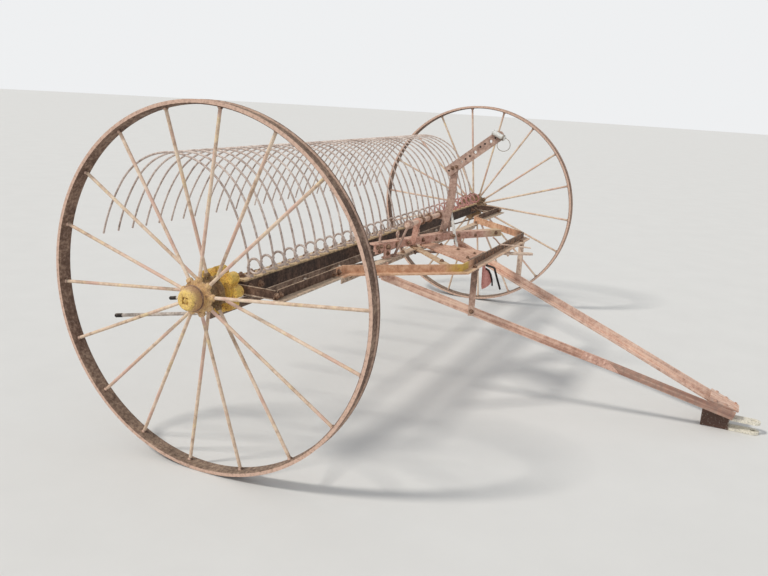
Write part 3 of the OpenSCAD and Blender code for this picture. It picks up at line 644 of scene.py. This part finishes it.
def on_arm(along, across, x=ARM_X[0]):
    """Point on the trip arm: along it to its tip, and across from its top edge."""
    c, s = math.cos(ARM_TILT), math.sin(ARM_TILT)
    return at(x, ARM_Y - along * c - across * s, ARM_Z + along * s - across * c)


bm = bmesh.new()
for x in (-0.013, 0.020):
    bolt(bm, at(x, POST_Y, RAIL_TOP + 0.0423), UP, 0.012, 4)
for along, across, size in ((0.038, 0.025, 0.013), (0.060, 0.032, 0.012)):
    bolt(bm, on_arm(along, across), LEFT, size, 4)
    bolt(bm, on_arm(along, across, ARM_X[2]), RIGHT, size, 6)
bolt(bm, on_arm(*PIN_ALONG, ARM_X[1]), RIGHT, 0.017, 6)
for x in (-0.0062, 0.0083):
    lathe(bm, [(0.0128, 0), (0.0195, 0), (0.0200, 0.001), (0.0200, 0.0048), (0.0190, 0.0058),
               (0.0128, 0.0058)], SHAFT + RIGHT * x, RIGHT, 28)
finish_piece("post_bolts", bm, "bolt", "frame")

# the small worn holes between the arm's large ones, as dimples with a raised lip, black as painted
# shade in the holes
bm = bmesh.new()
for k in (0.014, 0.122, 0.150, 0.222, 0.250, 0.311):
    lathe(bm, [(0, -0.001), (0.0052, -0.001), (0.0050, 0.0005), (0.0036, 0.0006),
               (0.0030, 0.0001), (0, 0.0001)], on_arm(k, 0.014 + 0.022 * (k * 37 % 1)), LEFT, 16)
finish_piece("arm_dimples", bm, "black", "frame")

# the rope pin points to the front and 24 degrees down, with a wire ring wound on near its front end
PIN_TILT = math.radians(24)
PIN_DIR = Vector((0, -math.cos(PIN_TILT), -math.sin(PIN_TILT)))
PIN_SIDE = Vector((0, math.sin(PIN_TILT), -math.cos(PIN_TILT)))
PIN_MID = on_arm(*PIN_ALONG, -0.0226)
bm = bmesh.new()
for end, collar in ((-1, -0.0345), (1, 0.0305)):
    lathe(bm, [(0, -0.0005), (0.0095, -0.0005), (0.0090, 0.0015), (0, 0.0015)],
          PIN_MID + PIN_DIR * 0.0355 * end, PIN_DIR * end, 20)
    peg(bm, 0.0131, 0, 0.004, PIN_MID + PIN_DIR * collar, PIN_DIR, 24)
finish_piece("pin_rings", bm, "white", "frame")

eye = PIN_MID + PIN_DIR * 0.0275
ring_mid = eye + Vector((0, -0.004, -0.0325))
bm = bmesh.new()
tube(bm, [ring_mid + Vector((0.004 * math.sin(t * 2), 0.0335 * math.sin(t), 0.0325 * math.cos(t)))
          for t in turn(40)], 0.0017, 8, closed=True)
for k in range(3):
    tube(bm, loop(eye + PIN_DIR * (0.0035 * k - 0.004), RIGHT * 0.0136, PIN_SIDE * 0.0136, 16),
         0.0015, 6, closed=True)
finish_piece("rope_ring", bm, "wire", "frame")


# latch strips: a pale one before the post's foot, down past the lever bar, and a thin one beside it

def strip(name, path, x, mat):
    """Narrow strip of 3 mm in a plane across X, from (y, z, half width) points."""
    left, right = [], []
    for k, (y, z, w) in enumerate(path):
        a = path[max(k - 1, 0)]
        b = path[min(k + 1, len(path) - 1)]
        d = Vector((b[0] - a[0], b[1] - a[1])).normalized()
        left.append((y + d.y * w, z - d.x * w))
        right.append((y - d.y * w, z + d.x * w))
    bm = bmesh.new()
    slab(bm, left + right[::-1], 0.003, lambda u, v, w: at(x + w, u, v))
    finish_piece(name, bm, mat, "frame")


strip("latch_strip", [(-0.366, 0.905, 0.0020), (-0.373, 0.865, 0.0040), (-0.384, 0.815, 0.0075),
                      (-0.393, 0.778, 0.0090), (-0.399, 0.755, 0.0070), (-0.412, 0.712, 0.0065),
                      (-0.426, 0.668, 0.0060), (-0.4285, 0.658, 0.0045)], 0.0086, "white")
strip("latch_link", [(-0.355, 0.905, 0.0040), (-0.361, 0.840, 0.0050), (-0.366, 0.763, 0.0060)],
      0.0122, "lever")
bm = bmesh.new()
bolt(bm, at(0.0152, -0.362, 0.880), RIGHT, 0.010, 6)
q, n = lever_face(0.012, RAIL_TOP + 0.024)
peg(bm, 0.0045, -0.001, 0.030, q, n, 12)
bolt(bm, q + n * 0.026, n, 0.013, 6)
finish_piece("latch_bolts", bm, "bolt", "frame")

# ---- fittings between the lever bar and the dump shaft: bracket, collars, eyes, end plate

BRACKET_X = -0.304
q, n = lever_face(BRACKET_X, RAIL_TOP)
bm = bmesh.new()
arc = [math.radians(a) for a in range(-40, 221, 20)]
round_shaft = [(SHAFT.y + 0.021 * math.cos(a), SHAFT.z + 0.021 * math.sin(a)) for a in arc]
slab(bm, [(q.y - 0.006, RAIL_TOP + 0.006), (q.y - 0.006, RAIL_TOP + 0.036)] + round_shaft
     + [(q.y - 0.030, RAIL_TOP + 0.020), (q.y - 0.018, RAIL_TOP + 0.006)],
     0.007, lambda u, v, w: Vector((BRACKET_X + w, u, v)))
slab(bm, [(-0.022, 0.004), (0.026, 0.004), (0.026, 0.034), (-0.022, 0.034)], 0.006,
     lambda u, v, w: by_face(q, n, u, v, w))
finish_piece("shaft_bracket", bm, "bar", "frame")
bm = bmesh.new()
for u in (-0.018, 0.019):
    bolt(bm, by_face(q, n, u, 0.019, 0.006), n, 0.012, 4)
for x, wide in ((-0.254, 0.018), (-0.150, 0.010)):
    lathe(bm, [(0.0120, 0), (0.0200, 0), (0.0212, 0.0015), (0.0212, wide - 0.0015),
               (0.0200, wide), (0.0120, wide)], SHAFT + RIGHT * x, RIGHT, 28)
    bolt(bm, SHAFT + RIGHT * (x + wide / 2) + UP * 0.0206, UP, 0.010, 4, washer=False)
finish_piece("shaft_collars", bm, "bolt", "frame")

bm = bmesh.new()
for x, rise in ((-0.500, 0.030), (-0.372, 0.018), (-0.215, 0.012)):
    q, n = lever_face(x, AXIS_Z + 0.056)
    foot = q - n * 0.022
    tube(bm, [foot - UP * 0.002, foot + UP * (rise * 0.5), foot + UP * rise], 0.0058)
    peg(bm, 0.0120, 0, 0.004, foot, UP, 18)
    tube(bm, loop(foot + UP * (rise + 0.0105), UP * 0.0125, RIGHT * 0.0125, 24), 0.0046, 8,
         closed=True)
finish_piece("lever_eyes", bm, "lever", "frame")

q, n = lever_face(-0.5300, RAIL_TOP)
bm = bmesh.new()
slab(bm, [(-0.026, -0.012), (0.020, -0.012), (0.026, 0.002), (0.026, 0.0355), (-0.026, 0.0355)],
     0.005, lambda u, v, w: by_face(q, n, u, v, w))
finish_piece("lever_end_plate", bm, "bar", "frame")
bm = bmesh.new()
for u, v, size, sides in ((-0.014, 0.020, 0.014, 4), (0.012, 0.022, 0.012, 6), (0, -0.001, 0.011, 4)):
    bolt(bm, by_face(q, n, u, v, 0.005), n, size, sides)
finish_piece("lever_end_bolts", bm, "bolt", "frame")

# ---- flat trip strip under the cross bar and the front rail, and the rod that hooks over the rail

STRIP_REAR, STRIP_FRONT = at(-0.135, -0.235, 0), at(0.232, -0.775, 0)
STRIP_TOP = CROSS_Z - 0.0143
STRIP_HALF, STRIP_THICK = 0.018, 0.010
run = (STRIP_FRONT - STRIP_REAR).normalized()
sideways = Vector((-run.y, run.x, 0))
length = (STRIP_FRONT - STRIP_REAR).length
tip = [(length - STRIP_HALF + STRIP_HALF * math.cos(math.radians(a)),
        STRIP_HALF * math.sin(math.radians(a))) for a in range(-90, 91, 15)]
bm = bmesh.new()
slab(bm, [(0, -STRIP_HALF)] + tip + [(0, STRIP_HALF)], STRIP_THICK,
     lambda u, v, w: STRIP_REAR + run * u + sideways * v + UP * (STRIP_TOP - w))
finish_piece("trip_strip", bm, "hanger", "frame")
bm = bmesh.new()
for y, top in ((REAR_Y, CROSS_Z - 0.0062), (FRONT_Y, CROSS_Z)):
    pivot = STRIP_REAR + run * ((at(0, y, 0).y - STRIP_REAR.y) / run.y)
    peg(bm, 0.0085, -0.0005, top - STRIP_TOP, pivot + UP * STRIP_TOP, UP, 18)
    bolt(bm, pivot + UP * (STRIP_TOP - STRIP_THICK), DOWN, 0.013, 6)
tube(bm, [at(0.004, -0.612, 0.7640), at(0.020, -0.625, 0.7500), at(0.038, -0.6375, 0.7290),
          at(0.046, -0.6440, 0.7238), at(0.060, -0.6700, 0.7225), at(0.080, -0.7200, 0.7205),
          at(0.106, -0.7900, 0.7150)], 0.0040)
bead(bm, at(0.0405, -0.6425, RAIL_TOP + 0.001), at(0.0515, -0.6440, RAIL_TOP + 0.001), 0.0035)
bead(bm, at(0.0010, -0.4255, STRIP_TOP + 0.001), at(0.0200, -0.4255, STRIP_TOP + 0.001), 0.0030)
finish_piece("trip_rod", bm, "hanger", "frame")

# ---- foot pedal's blade and its bent rods under the front rail

bm = bmesh.new()
slab(bm, [(-0.292, 0.6797), (-0.262, 0.6797), (-0.256, 0.658), (-0.215, 0.645), (-0.170, 0.620),
          (-0.138, 0.590), (-0.122, 0.565), (-0.135, 0.553), (-0.165, 0.549), (-0.225, 0.548),
          (-0.270, 0.552), (-0.283, 0.578)], 0.005, lambda u, v, w: at(u, FRONT_Y - 0.002 + w, v))
finish_piece("pedal_blade", bm, "pink", "frame")
bm = bmesh.new()
tube(bm, [at(-0.262, -0.668, 0.6797), at(-0.255, -0.668, 0.668), at(-0.20, -0.667, 0.655),
          at(-0.115, -0.664, 0.632), at(-0.090, -0.663, 0.622), at(-0.075, -0.662, 0.607),
          at(-0.02, -0.661, 0.556), at(0.060, -0.660, 0.484)], 0.0055)
tube(bm, [at(-0.250, -0.6660, 0.650), at(-0.208, -0.6665, 0.636), at(-0.164, -0.6665, 0.606),
          at(-0.134, -0.6665, 0.572), at(-0.120, -0.6665, 0.540)], 0.0042)
finish_piece("pedal_rod", bm, "black", "frame")

# ---- hangers, tongue bars and the lap where they meet

HANGER_X = 0.4184
bm = bmesh.new()
for side in (-1, 1):
    q = at(side * HANGER_X, FRONT_Y, CROSS_Z)
    bolt(bm, q - UP * 0.0083, DOWN, 0.014, 6)
    bolt(bm, q + UP * 0.006, UP, 0.014, 4)
    out = Vector((side * 0.958, -0.286, 0))
    bolt(bm, at(side * HANGER_X, FRONT_Y, 0.474) + out * 0.0083, out, 0.015, 4)

# pointed patch over the bend of the left tongue bar, on the bar's outer face
BEND = at(-0.2333, -1.2800, 0.2552)
BAR_RUN = Vector((0.1753, -0.5850, -0.1932)).normalized()
BAR_OUT = Vector((-0.958, -0.287, 0)).normalized()
BAR_UP = BAR_OUT.cross(BAR_RUN)
patch = bmesh.new()
slab(patch, [(-0.120, 0.002), (-0.120, 0.0405), (-0.010, 0.0410), (0.050, 0.016), (0.072, 0.003),
             (0.030, 0.0015)], 0.003,
     lambda u, v, w: BEND + BAR_RUN * u + BAR_UP * v + BAR_OUT * (w - 0.0002))
for u in (-0.100, -0.055, -0.010):
    rivet(patch, BEND + BAR_RUN * u + BAR_UP * 0.022 + BAR_OUT * 0.0028, BAR_OUT, 0.0065, 0.003)
finish_piece("tongue_patch", patch, "patch", "frame")
finish_piece("hitch_bolts", bm, "bolt", "frame")

LAP = at(0, -1.8777, 0.1023)
LAP_PITCH = math.radians(18.28)
LAP_RUN = Vector((0, -math.cos(LAP_PITCH), -math.sin(LAP_PITCH)))
LAP_UP = Vector((0, -math.sin(LAP_PITCH), math.cos(LAP_PITCH)))
bm = bmesh.new()
for u, v, size, sides in ((-0.104, 0.066, 0.013, 6), (-0.104, -0.066, 0.013, 4),
                          (-0.056, 0.050, 0.012, 4), (-0.056, -0.050, 0.012, 6),
                          (-0.010, 0.036, 0.012, 6), (-0.010, -0.036, 0.012, 4)):
    bolt(bm, LAP + LAP_RUN * u + RIGHT * v + LAP_UP * 0.008, LAP_UP, size, sides, stud=False)
finish_piece("lap_bolts", bm, "tongue", "frame")

# ---- cleaner: black ferrules on the rods' tips, one rod for every four teeth

ROD_DIR = Vector((0, 0.518, -0.101)).normalized()
bm = bmesh.new()
for i in range(-4, 5):
    tip = at(i * 4 * TOOTH_PITCH, 0.600, 0.470)
    lathe(bm, [(0, 0), (0.0084, 0), (0.0090, 0.004), (0.0090, 0.036), (0.0070, 0.040), (0, 0.040)],
          tip - ROD_DIR * 0.034, ROD_DIR, 18)
finish_piece("rod_ferrules", bm, "black", "frame")

# ---- floor, world, suns and camera

floor_mat = Nodes("floor_plain")
grain = floor_mat.noise(floor_mat.place((0, 0, 0)), 3.0, 4.0)
floor_mat.put(floor_mat.bsdf.inputs["Base Color"],
              floor_mat.mix(grain, srgb(214, 213, 210), srgb(222, 221, 218)))
floor_mat.bsdf.inputs["Roughness"].default_value = 0.9
bm = bmesh.new()
bmesh.ops.create_circle(bm, cap_ends=True, radius=60, segments=180)
mesh = bpy.data.meshes.new("floor")
bm.to_mesh(mesh)
bm.free()
floor = bpy.data.objects.new("floor", mesh)
floor.location = (0, 0, -0.0015)
bpy.context.scene.collection.objects.link(floor)
mesh.materials.append(floor_mat.mat)

# a cool soft sky lights the part; camera, glossy and transmission rays see a brighter plain grey
world = bpy.data.worlds.new("plain")
bpy.context.scene.world = world
world.use_nodes = True
sky = world.node_tree
sky.nodes.clear()
ray = sky.nodes.new("ShaderNodeLightPath")
seen = ray.outputs["Is Camera Ray"]
for kind in ("Is Glossy Ray", "Is Transmission Ray"):
    either = sky.nodes.new("ShaderNodeMath")
    either.operation = "MAXIMUM"
    sky.links.new(seen, either.inputs[0])
    sky.links.new(ray.outputs[kind], either.inputs[1])
    seen = either.outputs[0]
blend = sky.nodes.new("ShaderNodeMixShader")
sky.links.new(seen, blend.inputs["Fac"])
for k, color, strength in ((1, (0.93, 0.96, 1.0, 1.0), 0.55), (2, (0.86, 0.87, 0.88, 1.0), 1.0)):
    light = sky.nodes.new("ShaderNodeBackground")
    light.inputs["Color"].default_value = color
    light.inputs["Strength"].default_value = strength
    sky.links.new(light.outputs[0], blend.inputs[k])
sky.links.new(blend.outputs[0], sky.nodes.new("ShaderNodeOutputWorld").inputs["Surface"])


def sun(name, travel, strength, color, spread):
    """Sun that shines along travel; spread is its angle in degrees."""
    data = bpy.data.lights.new(name, "SUN")
    data.energy = strength
    data.color = color
    data.angle = math.radians(spread)
    obj = bpy.data.objects.new(name, data)
    obj.location = (0, 0, 6)
    obj.rotation_euler = Vector(travel).to_track_quat("-Z", "Y").to_euler()
    bpy.context.scene.collection.objects.link(obj)


sun("key", (0.50, -0.45, -0.74), 1.9, (1.0, 0.965, 0.91), 9)
sun("fill", (0.75, 0.50, -0.45), 0.35, (0.92, 0.96, 1.0), 60)

# the camera, fitted to the wheels, the hubs and the hitch
CAM_PLACE = at(-3.873, -1.721, 1.465)
CAM_LENS = 36.66
YAW, PITCH, ROLL = (math.radians(a) for a in (66.24, 14.14, 3.47))
look = Vector((math.sin(YAW) * math.cos(PITCH), math.cos(YAW) * math.cos(PITCH), -math.sin(PITCH)))
level = Vector((math.cos(YAW), -math.sin(YAW), 0))
over = level.cross(look)
cam_x = math.cos(ROLL) * level + math.sin(ROLL) * over
cam_y = -math.sin(ROLL) * level + math.cos(ROLL) * over
cam_data = bpy.data.cameras.new("camera")
cam_data.sensor_fit = "HORIZONTAL"
cam_data.sensor_width = 36.0
cam_data.lens = CAM_LENS
cam = bpy.data.objects.new("camera", cam_data)
cam_turn = Matrix((cam_x, cam_y, -look)).transposed().to_4x4()
cam.matrix_world = Matrix.Translation(CAM_PLACE) @ cam_turn
bpy.context.scene.collection.objects.link(cam)
bpy.context.scene.camera = cam
bpy.context.scene.view_settings.view_transform = "Standard"
